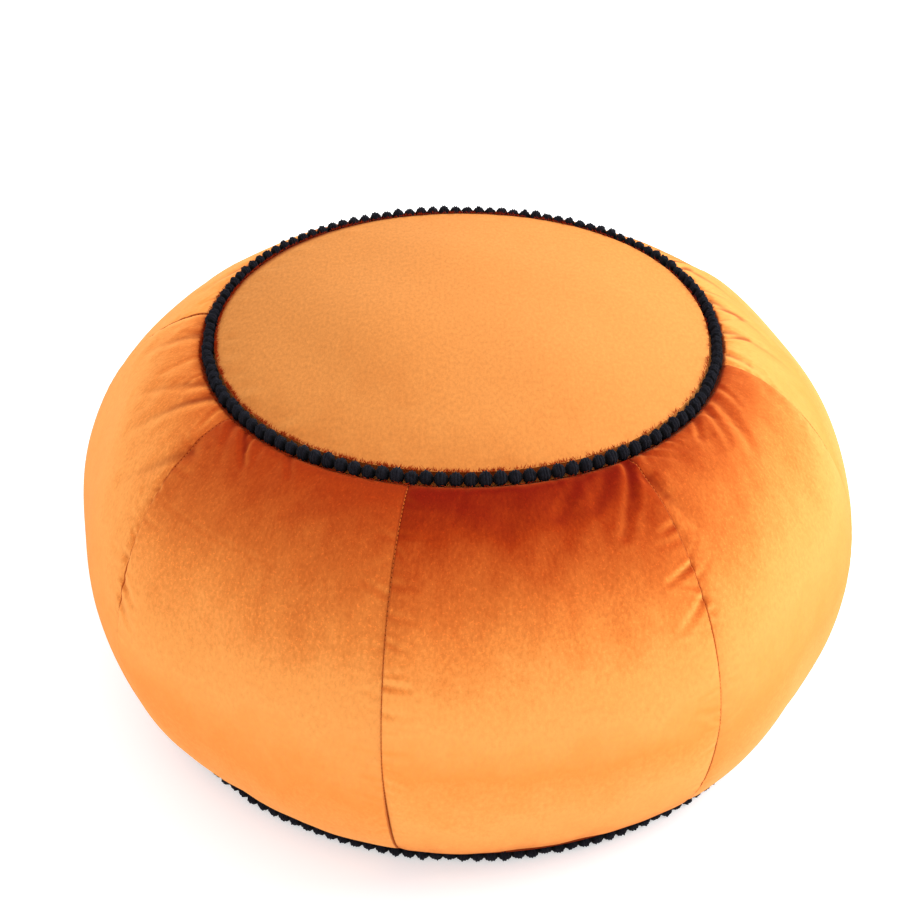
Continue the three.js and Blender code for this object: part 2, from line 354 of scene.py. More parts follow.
# Where a skin starts and ends, in millimetres along the cloth from the top ring
skin_ends = (7, 327)
cover_drops = np.linspace(*skin_ends, cover_rows) * MM


def cover_points():
    """Columns of points on the meridian all round the cushion, the same number on each gore."""
    share = np.arange(cover_columns) / cover_columns
    azimuth = np.concatenate([
        left + share * (right - left) for left, right in zip(seam_azimuths, gore_ends)
    ])[:, None]
    radius, height, outward = meridian(level_at(cover_drops)[None, :], azimuth)
    swell = corner_swell * outward * np.cos(2 * np.pi * np.tile(share, len(gore_ends)))[:, None]
    return placed(radius * (1 + swell), azimuth, height)


def grid_normals(points):
    """Outward normals of a grid of points, by the slopes of its columns and rows."""
    across, down = np.gradient(points, axis=0), np.gradient(points, axis=1)
    normals = np.cross(down, across)
    return normals / np.linalg.norm(normals, axis=-1, keepdims=True)


print("cover of", len(seam_azimuths) * cover_columns, "by", cover_rows, "points")

# %% [markdown]
# ## Letting the cloth ripple
# The sewing thread holds the cover along its seams and rings, so those points are pinned and the
# rest is free. The ease is a little more cloth than fits, most of it under the braid, where a
# sewer gathers the gores in. The shift along the normals is then split: a strongly smoothed copy
# holds the bulge of the pressure and is dropped, and what is left is the ripples.

# %% Cloth run
ease_at_ring = 0.055
ease_elsewhere = 0.006
ease_reach = 60 * MM
cloth_frames = 20
largest_ripple = 1.8 * MM
ripple_reach = 75 * MM
ripples_at_foot = 0.6
ripples_elsewhere = 0.2

# How much of the ring's ease each gore has: the photograph shows more on the right front gore
gore_ease = [0.4, 0.35, 0.3, 0.35, 0.5, 0.7, 0.8, 0.6]


def blurred(field, passes):
    """A field on the cover, smoothed round the cushion and down it."""
    for _ in range(passes):
        field = (np.roll(field, 1, axis=0) + 2 * field + np.roll(field, -1, axis=0)) / 4
        padded = np.pad(field, ((0, 0), (1, 1)), mode="edge")
        field = (padded[:, :-2] + 2 * field + padded[:, 2:]) / 4
    return field


def eased_cover(rest):
    """The coarse cover as a mesh, with one vertex group of pins and one of ease."""
    faces = grid_faces(len(rest), cover_rows, closed=True)
    cover = new_piece("cover_for_cloth", rest.reshape(-1, 3), faces)
    index = np.arange(len(rest) * cover_rows).reshape(len(rest), cover_rows)
    pins = cover.vertex_groups.new(name="pins")
    pins.add(np.unique(np.concatenate([
        index[::cover_columns].ravel(), index[:, 0], index[:, -1],
    ])).tolist(), 1.0, "REPLACE")
    ease = cover.vertex_groups.new(name="ease")
    for column, row in np.ndindex(index.shape):
        near_ring = math.exp(-((cover_drops[row] / ease_reach) ** 2))
        weight = near_ring * gore_ease[column // cover_columns]
        ease.add([int(index[column, row])], weight, "REPLACE")
    return cover


def cloth_ripples():
    """How far the eased cloth ripples in and out at each point of the cover."""
    rest = cover_points()
    cover = eased_cover(rest)
    cloth = cover.modifiers.new("cloth", "CLOTH")
    settings = cloth.settings
    settings.quality = 5
    settings.mass = 0.3
    settings.tension_stiffness = 25
    settings.compression_stiffness = 25
    settings.shear_stiffness = 8
    settings.bending_stiffness = 0.2
    settings.use_pressure = True
    settings.uniform_pressure_force = 3
    settings.effector_weights.gravity = 0
    settings.vertex_group_mass = "pins"
    settings.vertex_group_shrink = "ease"
    settings.shrink_min = -ease_elsewhere
    settings.shrink_max = -ease_at_ring
    for frame_number in range(1, cloth_frames + 1):
        scene.frame_set(frame_number)
    made = cover.evaluated_get(bpy.context.evaluated_depsgraph_get()).data
    moved = np.empty(rest.size, np.float32)
    made.vertices.foreach_get("co", moved)
    scene.frame_set(1)
    bpy.data.objects.remove(cover)
    shift = ((moved.reshape(rest.shape) - rest) * grid_normals(rest)).sum(axis=-1)
    print("cloth moved by up to", round(float(np.abs(shift).max()) / MM, 1), "mm")
    fine = blurred(shift, 1) - blurred(shift, 12)
    from_top, from_bottom = cover_drops, cover_drops[-1] - cover_drops
    share = np.exp(-((from_top / ripple_reach) ** 2))
    share = share + ripples_at_foot * np.exp(-((from_bottom / ripple_reach) ** 2))
    share = ripples_elsewhere + (1 - ripples_elsewhere) * share
    return largest_ripple * np.tanh(fine * share / largest_ripple)


ripples = cloth_ripples()
if ripples is not None:
    print("ripples of", round(float(ripples.std()) / MM, 2), "mm on average")

# %% [markdown]
# ## One gore
# A gore is a spindle of velvet, pulled tight by the filling. Its skin is laid on the meridian,
# swollen a little at the seams where the eight flat panels make soft corners, then moved in and
# out along its normals by the seam roll, the creases and a slow unevenness of the filling.
# At a seam both edges of the cloth turn in sharply. The seam allowance lies under one of the two
# panels, so that panel stands a little proud of the other.

# %% Seam profile
seam_valley_depth = 0.7 * MM
seam_valley_reach = 9 * MM
edge_roll_depth = 0.9 * MM
edge_roll_reach = 0.8 * MM
lap_step = 0.32 * MM
lap_reach = 7 * MM
edge_offsets = np.array([0, 0.2, 0.5, 0.9, 1.4, 2.1, 3.1]) * MM
middle_columns = 96
skin_rows = 168
skin_drops = np.linspace(*skin_ends, skin_rows) * MM

# For each seam, 1 where the panel on its left lies on top and -1 where the right one does
lap_sides = [1, -1, 1, 1, 1, -1, 1, 1]


def seam_shares(radius, span):
    """Where the columns stand on each row, as shares of the gore's span."""
    near = edge_offsets[:, None] / (np.radians(span) * radius)[None, :]
    steps = (np.arange(middle_columns) + 1)[:, None] / (middle_columns + 1)
    middle = near[-1] + (1 - 2 * near[-1]) * steps
    return np.vstack([near, middle, 1 - near[::-1]])


def seam_profile(distance, lap):
    """How far the cloth stands in or out at a distance from a seam."""
    inside = np.clip(1 - distance / edge_roll_reach, 0, 1)
    roll = -edge_roll_depth * (1 - np.sqrt(1 - inside**2))
    valley = -seam_valley_depth * np.clip(1 - distance / seam_valley_reach, 0, 1) ** 2
    step = lap * lap_step * np.clip(1 - distance / lap_reach, 0, 1)
    return roll + valley + step


print("a seam's valley is", round(-seam_profile(0.0, 0) / MM, 1), "mm deep")

# %% [markdown]
# ## Laying the skin
# The ripples are known at the points of the coarse cover only. Straight lines between those would
# show as facets in the pile, so they are read with cubic weights. Then all that moves the cloth is
# added up and laid off along the normals. The shelter says how open the cloth lies at each point:
# it is small at a seam and in a deep crease, and the velvet's colour is darkened there, a painted
# shade with some crushed pile.

# %% Gore skin
ring_dip = 3.2 * MM
ring_dip_reach = 15 * MM
foot_dip = 1.0 * MM
foot_dip_reach = 22 * MM
filling_unevenness = 0.9 * MM
uneven_reach = 70 * MM
shelter_reach = 2.0 * MM
shelter_depth = 1.4 * MM
held_by_seam = 6 * MM
belly_radius = 290 * MM
uneven_size = 110 * MM


def resampled(field, column, row):
    """A cover field between its points, by cubic weights: first down the rows, then round."""
    def weights(t):
        return (
            (-(t**3) + 2 * t**2 - t) / 2, (3 * t**3 - 5 * t**2 + 2) / 2,
            (-3 * t**3 + 4 * t**2 + t) / 2, (t**3 - t**2) / 2,
        )

    first = np.floor(row).astype(int)
    down = sum(
        w[None, :] * field[:, np.clip(first + k - 1, 0, cover_rows - 1)]
        for k, w in enumerate(weights(row - first))
    )
    first = np.floor(column).astype(int)
    rows = np.arange(len(row))[None, :]
    return sum(
        w * down[(first + k - 1) % len(field), rows]
        for k, w in enumerate(weights(column - first))
    )


def gore_skin(number):
    """The outer skin of a gore: points, azimuths and how far each point is from any shelter."""
    left, right = seam_azimuths[number], gore_ends[number]
    span = right - left
    share = seam_shares(meridian(level_at(skin_drops))[0], span)
    azimuth = left + share * span
    radius, height, outward = meridian(level_at(skin_drops)[None, :], azimuth)
    swell = 1 + corner_swell * outward * np.cos(2 * np.pi * share)
    points = placed(radius * swell, azimuth, height)
    normals = grid_normals(points)

    drop = skin_drops[None, :] + 0 * share
    width = np.radians(span) * radius
    from_left, from_right = share * width, (1 - share) * width
    lift = seam_profile(from_left, -lap_sides[number])
    lift += seam_profile(from_right, lap_sides[(number + 1) % len(lap_sides)])
    folds = draw_in(gore_creases[number], azimuth, drop, radius)
    lift += folds
    from_ring = np.minimum(drop, ring_to_ring - drop)
    uneven = waves(np.radians(azimuth) * belly_radius, drop, uneven_size, 30 + number)
    lift += filling_unevenness * uneven * np.clip(from_ring / uneven_reach, 0, 1)
    lift -= foot_dip * np.exp(-(((ring_to_ring - drop) / foot_dip_reach) ** 2))
    lift -= ring_dip * np.clip(1 - drop / ring_dip_reach, 0, 1) ** 2
    if ripples is not None:
        row = (skin_drops - cover_drops[0]) / (cover_drops[1] - cover_drops[0])
        rippled = resampled(ripples, (number + share) * cover_columns, row)
        held = np.clip(np.minimum(from_left, from_right) / held_by_seam, 0, 1)
        lift += rippled * held * np.clip((drop - skin_drops[0]) / held_by_seam, 0, 1)
    # The shelter feeds the map "edge", where it sets the painted shade in seams and deep creases
    open_cloth = shelter_reach * np.clip(1 + folds / shelter_depth, 0.2, 1)
    shelter = np.minimum(np.minimum(from_left, from_right), open_cloth)
    return points + normals * lift[..., None], azimuth, shelter


skins = [gore_skin(number) for number in range(len(seam_azimuths))]
print("a gore skin has", len(skin_drops), "rows and", len(skins[0][0]), "columns")

# %% [markdown]
# ## Closing the gore
# A skin alone would be a shell with raw edges, so each gore is closed like its construction
# solid: a wedge of filling between two seam planes that reaches to the middle of the cushion.
# Only the skin shows, and the flat inner sides are a few large faces.

# %% Gore piece
hub_radius = 256 * MM
hub_height = 130 * MM
mean_radius = 260 * MM


def grid_map(u, v):
    """Map coordinates of a grid of points, with four more for the hidden inner corners."""
    grid = np.stack(np.broadcast_arrays(u, v), axis=-1).reshape(-1, 2)
    return np.vstack([grid, np.zeros((4, 2))])


def gore_piece(number):
    """A closed gore: its skin, the seats of both braids, and flat sides that fan out from hubs."""
    left, right = seam_azimuths[number], gore_ends[number]
    skin, azimuth, shelter = skins[number]
    columns = len(skin)

    def ring_rows(rows, at):
        return placed(rows[None, :, 0], azimuth[:, [at]], rows[None, :, 1])

    recess = np.array([[gore_inner, top_panel_underside - parting]])
    foot = np.array([[gore_foot, bottom_panel_top + parting]])
    above = np.vstack([recess, top_seat])
    below = np.vstack([bottom_seat, foot])
    points = np.concatenate([ring_rows(above, 0), skin, ring_rows(below, -1)], axis=1)
    rows = points.shape[1]
    for column, side in ((0, 1), (-1, -1)):
        turn = np.radians(azimuth[column, 0])
        points[column, :, 0] += side * half_gap * np.cos(turn)
        points[column, :, 1] += side * half_gap * np.sin(turn)

    faces = grid_faces(columns, rows).tolist()
    index = np.arange(columns * rows).reshape(columns, rows)
    tip_turn = (left + right) / 2
    tip_radius = half_gap / math.sin(math.radians(right - left) / 2)
    top_tip, bottom_tip = columns * rows, columns * rows + 1
    tips = placed(tip_radius, tip_turn, np.array([recess[0, 1], foot[0, 1]]))
    for c in range(columns - 1):
        faces.append([top_tip, index[c, 0], index[c + 1, 0]])
        faces.append([bottom_tip, index[c + 1, -1], index[c, -1]])
    hubs = []
    for column, turned in ((0, False), (-1, True)):
        turn = azimuth[column, 0]
        side = 1 if column == 0 else -1
        hub = placed(hub_radius, turn, hub_height)
        turn = math.radians(turn)
        hub = hub + side * half_gap * np.array([math.cos(turn), math.sin(turn), 0])
        hub_index = bottom_tip + 1 + len(hubs)
        hubs.append(hub)
        loop = [top_tip, *index[column], bottom_tip]
        for a, b in zip(loop, loop[1:] + loop[:1]):
            faces.append([hub_index, b, a] if turned else [hub_index, a, b])
    drops = np.concatenate([
        np.zeros(len(above)), skin_drops, np.full(len(below), ring_to_ring),
    ])[None, :]
    u = np.radians(azimuth - (left + right) / 2)[:, :1] * mean_radius
    shelter = np.pad(shelter, ((0, 0), (len(above), len(below))), mode="edge")
    maps = {
        "cloth": grid_map(u, drops),
        "edge": grid_map(np.minimum(drops, ring_to_ring - drops), shelter),
    }
    points = np.vstack([points.reshape(-1, 3), tips, hubs])
    return new_piece(f"velvet_gore_{number + 1}", points, faces, maps)


gores = [gore_piece(number) for number in range(len(seam_azimuths))]
print("gore faces:", [len(gore.data.polygons) for gore in gores])

# %% [markdown]
# ## The top and bottom panels
# The top panel is a disc pushed up by the filling into a shallow pillow that meets the braid
# almost level with its bobbles. A power curve gives that section. The bottom panel is the same
# disc pressed flat by the cushion's weight, with a soft rounded edge.

# %% Round panels
crown_base = 278.8 * MM
crown_rise = 17.0 * MM
crown_radius = 182.1 * MM
crown_fullness = 2.1
dome_edge = 181.7 * MM
dome_rim = 22 * MM
dome_middle = 157 * MM
panel_columns = 240
# Shifts the rim's distance from the braid in the map "edge", which sets how far the painted shade
# reaches onto the panel's rim
rim_crush_and_shade_shift = 4.3 * MM


def round_panel(name, rows, lift_rows=None):
    """A closed panel turned from rows of (radius, height), from the axis out and back to it."""
    azimuth = np.arange(panel_columns) * 360 / panel_columns
    points = placed(rows[None, :, 0], azimuth[:, None], rows[None, :, 1] + 0 * azimuth[:, None])
    if lift_rows is not None:
        points[..., 2] += lift_rows(points)
    count = len(rows)
    faces = grid_faces(panel_columns, count, closed=True).tolist()
    flat = points.reshape(-1, 3)
    first, last = len(flat), len(flat) + 1
    ends = np.vstack([placed(0.0, 0.0, rows[0, 1]), placed(0.0, 0.0, rows[-1, 1])])
    if lift_rows is not None:
        ends[1, 2] += float(lift_rows(ends[1][None, None, :])[0, 0])
    index = np.arange(panel_columns * count).reshape(panel_columns, count)
    for c in range(panel_columns):
        ahead = (c + 1) % panel_columns
        faces.append([first, index[c, 0], index[ahead, 0]])
        faces.append([last, index[ahead, -1], index[c, -1]])
    every = np.vstack([flat, ends])
    from_braid = rows[:, 0].max() - np.hypot(every[:, 0], every[:, 1]) + rim_crush_and_shade_shift
    maps = {"cloth": every[:, :2], "edge": np.stack([from_braid, np.ones(len(every))], axis=-1)}
    return new_piece(name, every, [face[::-1] for face in faces], maps)


dome_radii = np.concatenate([
    dome_edge - dome_rim * np.linspace(0, 1, 26) ** 1.8, np.linspace(dome_middle, 2 * MM, 48),
])
dome_fall = 1 - (dome_radii / crown_radius) ** crown_fullness
dome = np.stack([dome_radii, crown_base + crown_rise * dome_fall], axis=-1)
panel_edge = top_ring_radius - half_gap
top_panel_seat = seat(top_ring_radius, top_ring_height, np.linspace(-90, -180, 9), most=panel_edge)
top_rows = np.vstack([
    [[2 * MM, top_panel_underside], [panel_edge, top_panel_underside]], top_panel_seat, dome,
])


dome_shown_from = 275 * MM
dome_shown_fade = 6 * MM
dome_unevenness = 1.3 * MM
dome_uneven_size = 140 * MM
dome_uneven_reach = 60 * MM
rim_pucker_depth = 0.35 * MM
rim_pucker_size = 14 * MM
rim_pucker_radius = 176 * MM
rim_pucker_reach = 7 * MM
rim_map_radius = 180 * MM


def top_lift(points):
    """Slow unevenness of the filling, and small radial puckers at the rim."""
    x, y, z = points[..., 0], points[..., 1], points[..., 2]
    radius = np.hypot(x, y)
    azimuth = np.arctan2(x, -y)
    shown = np.clip((z - dome_shown_from) / dome_shown_fade, 0, 1)
    inside = np.clip((dome_edge - radius) / dome_uneven_reach, 0, 1)
    slow = dome_unevenness * waves(x, y, dome_uneven_size, 3) * inside
    rim = np.exp(-((radius - rim_pucker_radius) / rim_pucker_reach) ** 2)
    puckers = waves(azimuth * rim_map_radius, 0 * azimuth, rim_pucker_size, 5)
    return shown * (slow + rim_pucker_depth * rim * puckers)


top_panel = round_panel("velvet_top_panel", top_rows, top_lift)

bottom_edge = bottom_seam_radius - half_gap
bottom_rows = np.array([
    [2, bottom_panel_top / MM], [bottom_edge / MM, bottom_panel_top / MM],
    [bottom_edge / MM, 8.0], [bottom_edge / MM - 0.4, 5.2], [bottom_edge / MM - 1.8, 2.4],
    [bottom_edge / MM - 4.0, 0.7], [245.5, 0.0], [160, 0.0], [80, 0.0], [2, 0.0],
]) * MM
bottom_panel = round_panel("velvet_bottom_panel", bottom_rows[::-1])
print("top panel faces", len(top_panel.data.polygons))

# %% [markdown]
# ## The bobble braid
# The braid is a cord with a bobble of wound yarn every centimetre. Each bobble is a small barrel,
# wound about the cord, so fine ridges run round it. One continuous tube keeps it a single piece
# of trimming: its radius swells at each bobble and ripples with the turns of yarn, and every
# bobble is a little larger, smaller or off line than the next, as real winding is.

# %% Bobble braid
bobble_pitch = 9.7 * MM
bobble_map_radius = 5 * MM
yarn_turns = 5
yarn_ridge = 0.42 * MM
yarn_lumps = 0.5 * MM


def braid_piece(
    name, ring_radius, ring_height, bobbles, sections, sides, seed, neck, wide=1.0, tall=1.0,
):
    """A ring of bobbles as one tube, with a share of its girth left at the neck between two."""
    random = np.random.default_rng(seed)
    count = bobbles * sections
    place = np.arange(count) / sections
    bobble, share = place.astype(int), place % 1
    size = random.normal(1, 0.045, bobbles)[bobble]
    off_line = random.normal(0, 0.35 * MM, (bobbles, 2))[bobble]
    slant = random.normal(1.0, 0.5, bobbles)[bobble]
    start = random.uniform(0, 1, bobbles)[bobble]
    bulge = np.sin(np.pi * share) ** 0.7
    swell = neck + (1 - neck) * bulge
    turn = np.degrees(2 * np.pi * place / bobbles)[:, None]
    angle = (np.arange(sides) * 2 * np.pi / sides)[None, :]
    wind = 2 * np.pi * (yarn_turns * share + start)[:, None] + slant[:, None] * np.sin(angle)
    u = (place * bobble_pitch)[:, None] + 0 * angle
    v = angle * bobble_map_radius
    lumps = yarn_lumps * waves(u, v, 5 * MM, seed + 1)
    radius = bobble_radius * size[:, None] * swell[:, None]
    radius = radius + (yarn_ridge * np.cos(wind) + lumps) * bulge[:, None]
    ring = ring_radius + wide * radius * np.cos(angle) + (off_line[:, 0] * bulge)[:, None]
    height = ring_height + tall * radius * np.sin(angle) + (off_line[:, 1] * bulge)[:, None]
    points = placed(ring, turn + 0 * angle, height)
    points[..., 2] = np.maximum(points[..., 2], 0)
    faces = grid_faces(count, sides, closed=True, tube=True)
    uv = np.stack(np.broadcast_arrays(u, v), axis=-1).reshape(-1, 2)
    return new_piece(name, points.reshape(-1, 3), faces[:, ::-1], {"cloth": uv}, sharp=180)


top_braid = braid_piece(
    "bobble_braid_top", top_ring_radius, top_ring_height, 122, 26, 22, 11,
    neck=0.22, wide=0.82, tall=1.14,
)
bottom_braid = braid_piece(
    "bobble_braid_bottom", bottom_braid_radius, bottom_braid_height, 168, 20, 16, 12,
    neck=0.5, wide=1.05, tall=1.02,
)
print("braid faces", len(top_braid.data.polygons), len(bottom_braid.data.polygons))

# %% [markdown]
# ## Seam stitches
# Each seam is sewn from inside, and its thread shows between the two edges as a row of dots about
# 3 mm apart. They could be painted on, but small lengths of thread, sunk between the edges,
# catch light and shadow by themselves. One mesh holds the stitches of all eight seams.

# %% Seam stitches
stitch_pitch = 3.0 * MM
stitch_half = 1.2 * MM
stitch_radius = 0.52 * MM
stitch_sides = 6


def seam_line(number):
    """The line where the two edges of a seam meet, and the way out of the cloth there."""
    right_edge, left_edge = skins[number][0], skins[number - 1][0]
    line = (right_edge[1] + left_edge[-2]) / 2
    across = right_edge[6] - left_edge[-7]
    along = np.gradient(line, axis=0)
    outward = np.cross(along, across)
    return line, outward / np.linalg.norm(outward, axis=1, keepdims=True)


def stitch_rings(number):
    """Five small rings of points for each stitch of a seam."""
    line, outward = seam_line(number)
    run = np.concatenate([[0], np.cumsum(np.linalg.norm(np.diff(line, axis=0), axis=1))])
    middles = np.arange(stitch_pitch, run[-1] - stitch_pitch, stitch_pitch)
    shares = np.array([-1, -0.7, 0, 0.7, 1]) * stitch_half
    places = middles[:, None] + shares[None, :]
    centre = np.stack([np.interp(places, run, line[:, k]) for k in range(3)], axis=-1)
    up = np.stack([np.interp(places, run, outward[:, k]) for k in range(3)], axis=-1)
    ahead = centre[:, -1] - centre[:, 0]
    ahead /= np.linalg.norm(ahead, axis=-1, keepdims=True)
    aside = np.cross(ahead[:, None, :], up)
    turn = np.arange(stitch_sides) * 2 * np.pi / stitch_sides
    size = stitch_radius * np.array([0.15, 0.8, 1, 0.8, 0.15])[None, :, None, None]
    ring = up[:, :, None, :] * np.cos(turn)[:, None] + aside[:, :, None, :] * np.sin(turn)[:, None]
    return (centre + up * 0.05 * MM)[:, :, None, :] + size * ring


def tube_faces(tubes, rings, sides):
    """Faces of many closed tubes, each of a few rings of points and two flat ends."""
    index = np.arange(rings * sides).reshape(rings, sides)
    one = grid_faces(rings, sides, tube=True).tolist()
    one += [index[0, ::-1].tolist(), index[-1].tolist()]
    return [
        [corner + tube * rings * sides for corner in face] for tube in range(tubes) for face in one
    ]


stitches = np.concatenate([stitch_rings(number) for number in range(len(seam_azimuths))])
thread = new_piece(
    "seam_stitches", stitches.reshape(-1, 3), tube_faces(len(stitches), 5, stitch_sides), sharp=180
)
print(len(stitches), "stitches")

# %% [markdown]
# ## Pile round the braid
# Where the braid is sewn on, it presses the velvet down and the pile beside it is pushed up into
# ragged tufts, more on the left of the photograph than on the right. A hair system would make
# far more fibres than show. A few thousand thin spikes, leaning out from under the braid on both
# sides, are enough to break up its clean edge.

# %% Pile tufts
tuft_count = 9500
inner_share = 0.62

# The length of a tuft, in millimetres
shortest_tuft = 1.2
longest_tuft = 3.6
patch_size = 20 * MM
tuft_map_radius = 190 * MM
tuft_random = np.random.default_rng(21)


def tuft_piece(name):
    """Thin three-sided spikes of pile that lean out from under the top braid on both sides."""
    turn = tuft_random.uniform(-180, 180, tuft_count)
    patch = waves(np.radians(turn) * tuft_map_radius, 0 * turn, patch_size, 22)
    patch = 0.5 + 0.5 * np.tanh(1.5 * patch)
    left = 0.5 - 0.5 * np.sin(np.radians(turn))
    kept = tuft_random.uniform(0, 1, tuft_count) < (0.2 + 0.8 * left) * (0.35 + 0.65 * patch)
    turn = turn[kept]
    count = len(turn)
    inner = tuft_random.uniform(0, 1, count) < inner_share
    side = np.where(inner, -1.0, 1.0)
    base_radius = top_ring_radius + side * tuft_random.uniform(4.6, 6.2, count) * MM
    base_height = top_ring_height + np.where(inner, 2.6, -1.6) * MM
    radians = np.radians(turn)
    outward = np.stack([np.sin(radians), -np.cos(radians), 0 * radians], axis=-1)
    around = np.stack([np.cos(radians), np.sin(radians), 0 * radians], axis=-1)
    rise = np.radians(tuft_random.uniform(15, 75, count))
    swing = tuft_random.normal(0, 0.5, count)
    lean = outward * (side * np.cos(rise))[:, None] + around * swing[:, None]
    lean[:, 2] = np.sin(rise)
    length = tuft_random.uniform(shortest_tuft, longest_tuft, count) * MM
    length = length * np.where(inner, 1, 0.8)
    foot = placed(base_radius, turn, base_height)
    width = tuft_random.uniform(0.2, 0.45, count)[:, None] * MM
    corners = [
        foot + around * width, foot - around * width,
        foot + np.cross(lean, around) * width, foot + lean * length[:, None],
    ]
    points = np.stack(corners, axis=1).reshape(-1, 3)
    one = np.array([[0, 1, 3], [1, 2, 3], [2, 0, 3], [0, 2, 1]])
    faces = (one[None] + 4 * np.arange(count)[:, None, None]).reshape(-1, 3)
    return new_piece(name, points, faces)


tufts = tuft_piece("pile_tufts")
print(len(tufts.data.polygons) // 4, "tufts")

# %% [markdown]
# ## The velvet
# Velvet is a forest of short upright fibres. Looked at end on it is deep and dark, and looked at
# from the side the fibre tips catch the light, so it is brightest where it turns away. The
# shader's sheen lobe gives the pale bloom of this, but not the deep red. The pile also leans
# along the panel, so its dark spot sits off to one side, and it jumps at each seam because every
# gore was cut along its own axis. So a node group works out the lean, Layer Weight in the
# material tells how far the leaning pile is seen from the side, and a second group turns that
# into the base colour: a painted sheen that carries the velvet's whole light and dark. First
# come the helpers that keep the node code short. Each makes one or two nodes in the tree that it
# is given.

# %% Node helpers
def new_group(name, inputs, outputs):
    """An empty shader node group with named sockets: (name, kind, default)."""
    group = bpy.data.node_groups.new(name, "ShaderNodeTree")
    for label, kind, value in inputs:
        socket = group.interface.new_socket(label, in_out="INPUT", socket_type=f"NodeSocket{kind}")
        socket.default_value = value
    for label, kind in outputs:
        group.interface.new_socket(label, in_out="OUTPUT", socket_type=f"NodeSocket{kind}")
    return group, group.nodes.new("NodeGroupInput"), group.nodes.new("NodeGroupOutput")


def add_node(tree, kind, settings=None, **sockets):
    """A node with its settings, and values or links for its sockets by name."""
    node = tree.nodes.new(f"ShaderNode{kind}")
    for label, value in (settings or {}).items():
        setattr(node, label, value)
    for label, value in sockets.items():
        by_number = label[1:].isdigit()
        socket = node.inputs[int(label[1:]) if by_number else label.replace("_", " ")]
        if isinstance(value, bpy.types.NodeSocket):
            tree.links.new(value, socket)
        else:
            socket.default_value = value
    return node


def maths(tree, operation, *values):
    """The result of one math node."""
    sockets = {f"_{place}": value for place, value in enumerate(values)}
    return add_node(tree, "Math", {"operation": operation}, **sockets).outputs[0]


def vector_maths(tree, operation, *values, **sockets):
    """The result of one vector math node."""
    sockets.update({f"_{place}": value for place, value in enumerate(values)})
    made = add_node(tree, "VectorMath", {"operation": operation}, **sockets)
    return made.outputs["Value" if operation == "DOT_PRODUCT" else "Vector"]


def ranged(tree, value, start, end, soft=False):
    """A value carried from one range to another and held at its ends."""
    return add_node(
        tree, "MapRange", {"interpolation_type": "SMOOTHSTEP" if soft else "LINEAR"}, Value=value,
        From_Min=start[0], From_Max=start[1], To_Min=end[0], To_Max=end[1],
    ).outputs[0]


def noise(tree, place, scale, **sockets):
    """Noise round 0.5, with a scale in blobs for each metre."""
    return add_node(tree, "TexNoise", Vector=place, Scale=scale, **sockets).outputs["Fac"]


def centred(tree, value, amount):
    """(value - 0.5) * amount."""
    return maths(tree, "MULTIPLY", maths(tree, "SUBTRACT", value, 0.5), amount)


def sum_of(tree, *values):
    """The sum of several values."""
    total = values[0]
    for value in values[1:]:
        total = maths(tree, "ADD", total, value)
    return total


def map_sides(tree, name):
    """Both coordinates of a map."""
    place = add_node(tree, "UVMap", {"uv_map": name})
    sides = add_node(tree, "SeparateXYZ", _0=place.outputs[0])
    return sides.outputs["X"], sides.outputs["Y"]


def new_material(name, **sockets):
    """A material, its node tree and its shader, with plain values set on the shader's sockets."""
    material = bpy.data.materials.new(name)
    material.use_nodes = True
    shader = material.node_tree.nodes["Principled BSDF"]
    for label, value in sockets.items():
        shader.inputs[label.replace("_", " ")].default_value = value
    return material, material.node_tree, shader


print("node helpers ready")

# %% [markdown]
# ## The group of the pile
# This group is the same for every velvet panel, and its inputs make the panels differ: the
# panel's axis, how far the pile leans down and across, how that changes over the cloth, and how
# strong the marks of use are. It puts out normals and masks only, and no shader.

# %% Pile sockets
pile, pile_in, pile_out = new_group(
    "velvet_pile",
    [
        ("Panel Axis", "Vector", (1, 0, 0)),
        ("Lean Down", "Float", 0.8),
        ("Lean Across", "Float", 0.0),
        ("Sweep", "Vector", (0, 0, 0)),
        ("Brushing", "Float", 0.5),
        ("Speckle", "Float", 0.5),
    ],
    [
        ("Pile Normal", "Vector"), ("Surface Normal", "Vector"), ("Flecks", "Float"),
        ("Painted Hair Glints", "Float"), ("Crush And Painted Shade", "Float"),
    ],
)
pile_given = pile_in.outputs
print("pile group sockets:", [socket.name for socket in pile.interface.items_tree])

# %% [markdown]
# ## Brushed patches and curled hairs
# A hand that strokes velvet leaves patches that lean more or less, and here and there a hair
# curls over and shines. Three sizes of noise give patches, flecks and single fibres. A hair's
# shine
# is a painted glint: it is drawn where a twisted noise passes through its middle value, which
# makes thin curled lines, and a second noise breaks them into short pieces.

# %% Patches and hairs
cloth_map = add_node(pile, "UVMap", {"uv_map": "cloth"}).outputs[0]
streaks = add_node(pile, "Mapping", Vector=cloth_map, Scale=(1, 0.55, 1)).outputs[0]
patches = noise(pile, streaks, 55, Detail=5, Roughness=0.68)
flecks = noise(pile, streaks, 420, Detail=3, Roughness=0.7)
fibres = noise(pile, cloth_map, 1500, Detail=2)
curls = noise(pile, cloth_map, 430, Detail=1, Distortion=1.2)
breaks = noise(pile, cloth_map, 420, Detail=1)
off_curl = maths(pile, "ABSOLUTE", centred(pile, curls, 1.0))
on_curl = ranged(pile, off_curl, (0, 0.05), (1, 0))
unbroken = ranged(pile, breaks, (0.52, 0.6), (0, 1))
broken_curl = maths(pile, "MULTIPLY", on_curl, unbroken)
# The painted glints of curled hairs
painted_hair_glints = maths(pile, "MULTIPLY", broken_curl, pile_given["Speckle"])
print("patches, flecks, fibres and hairs take", len(pile.nodes) - 2, "nodes")
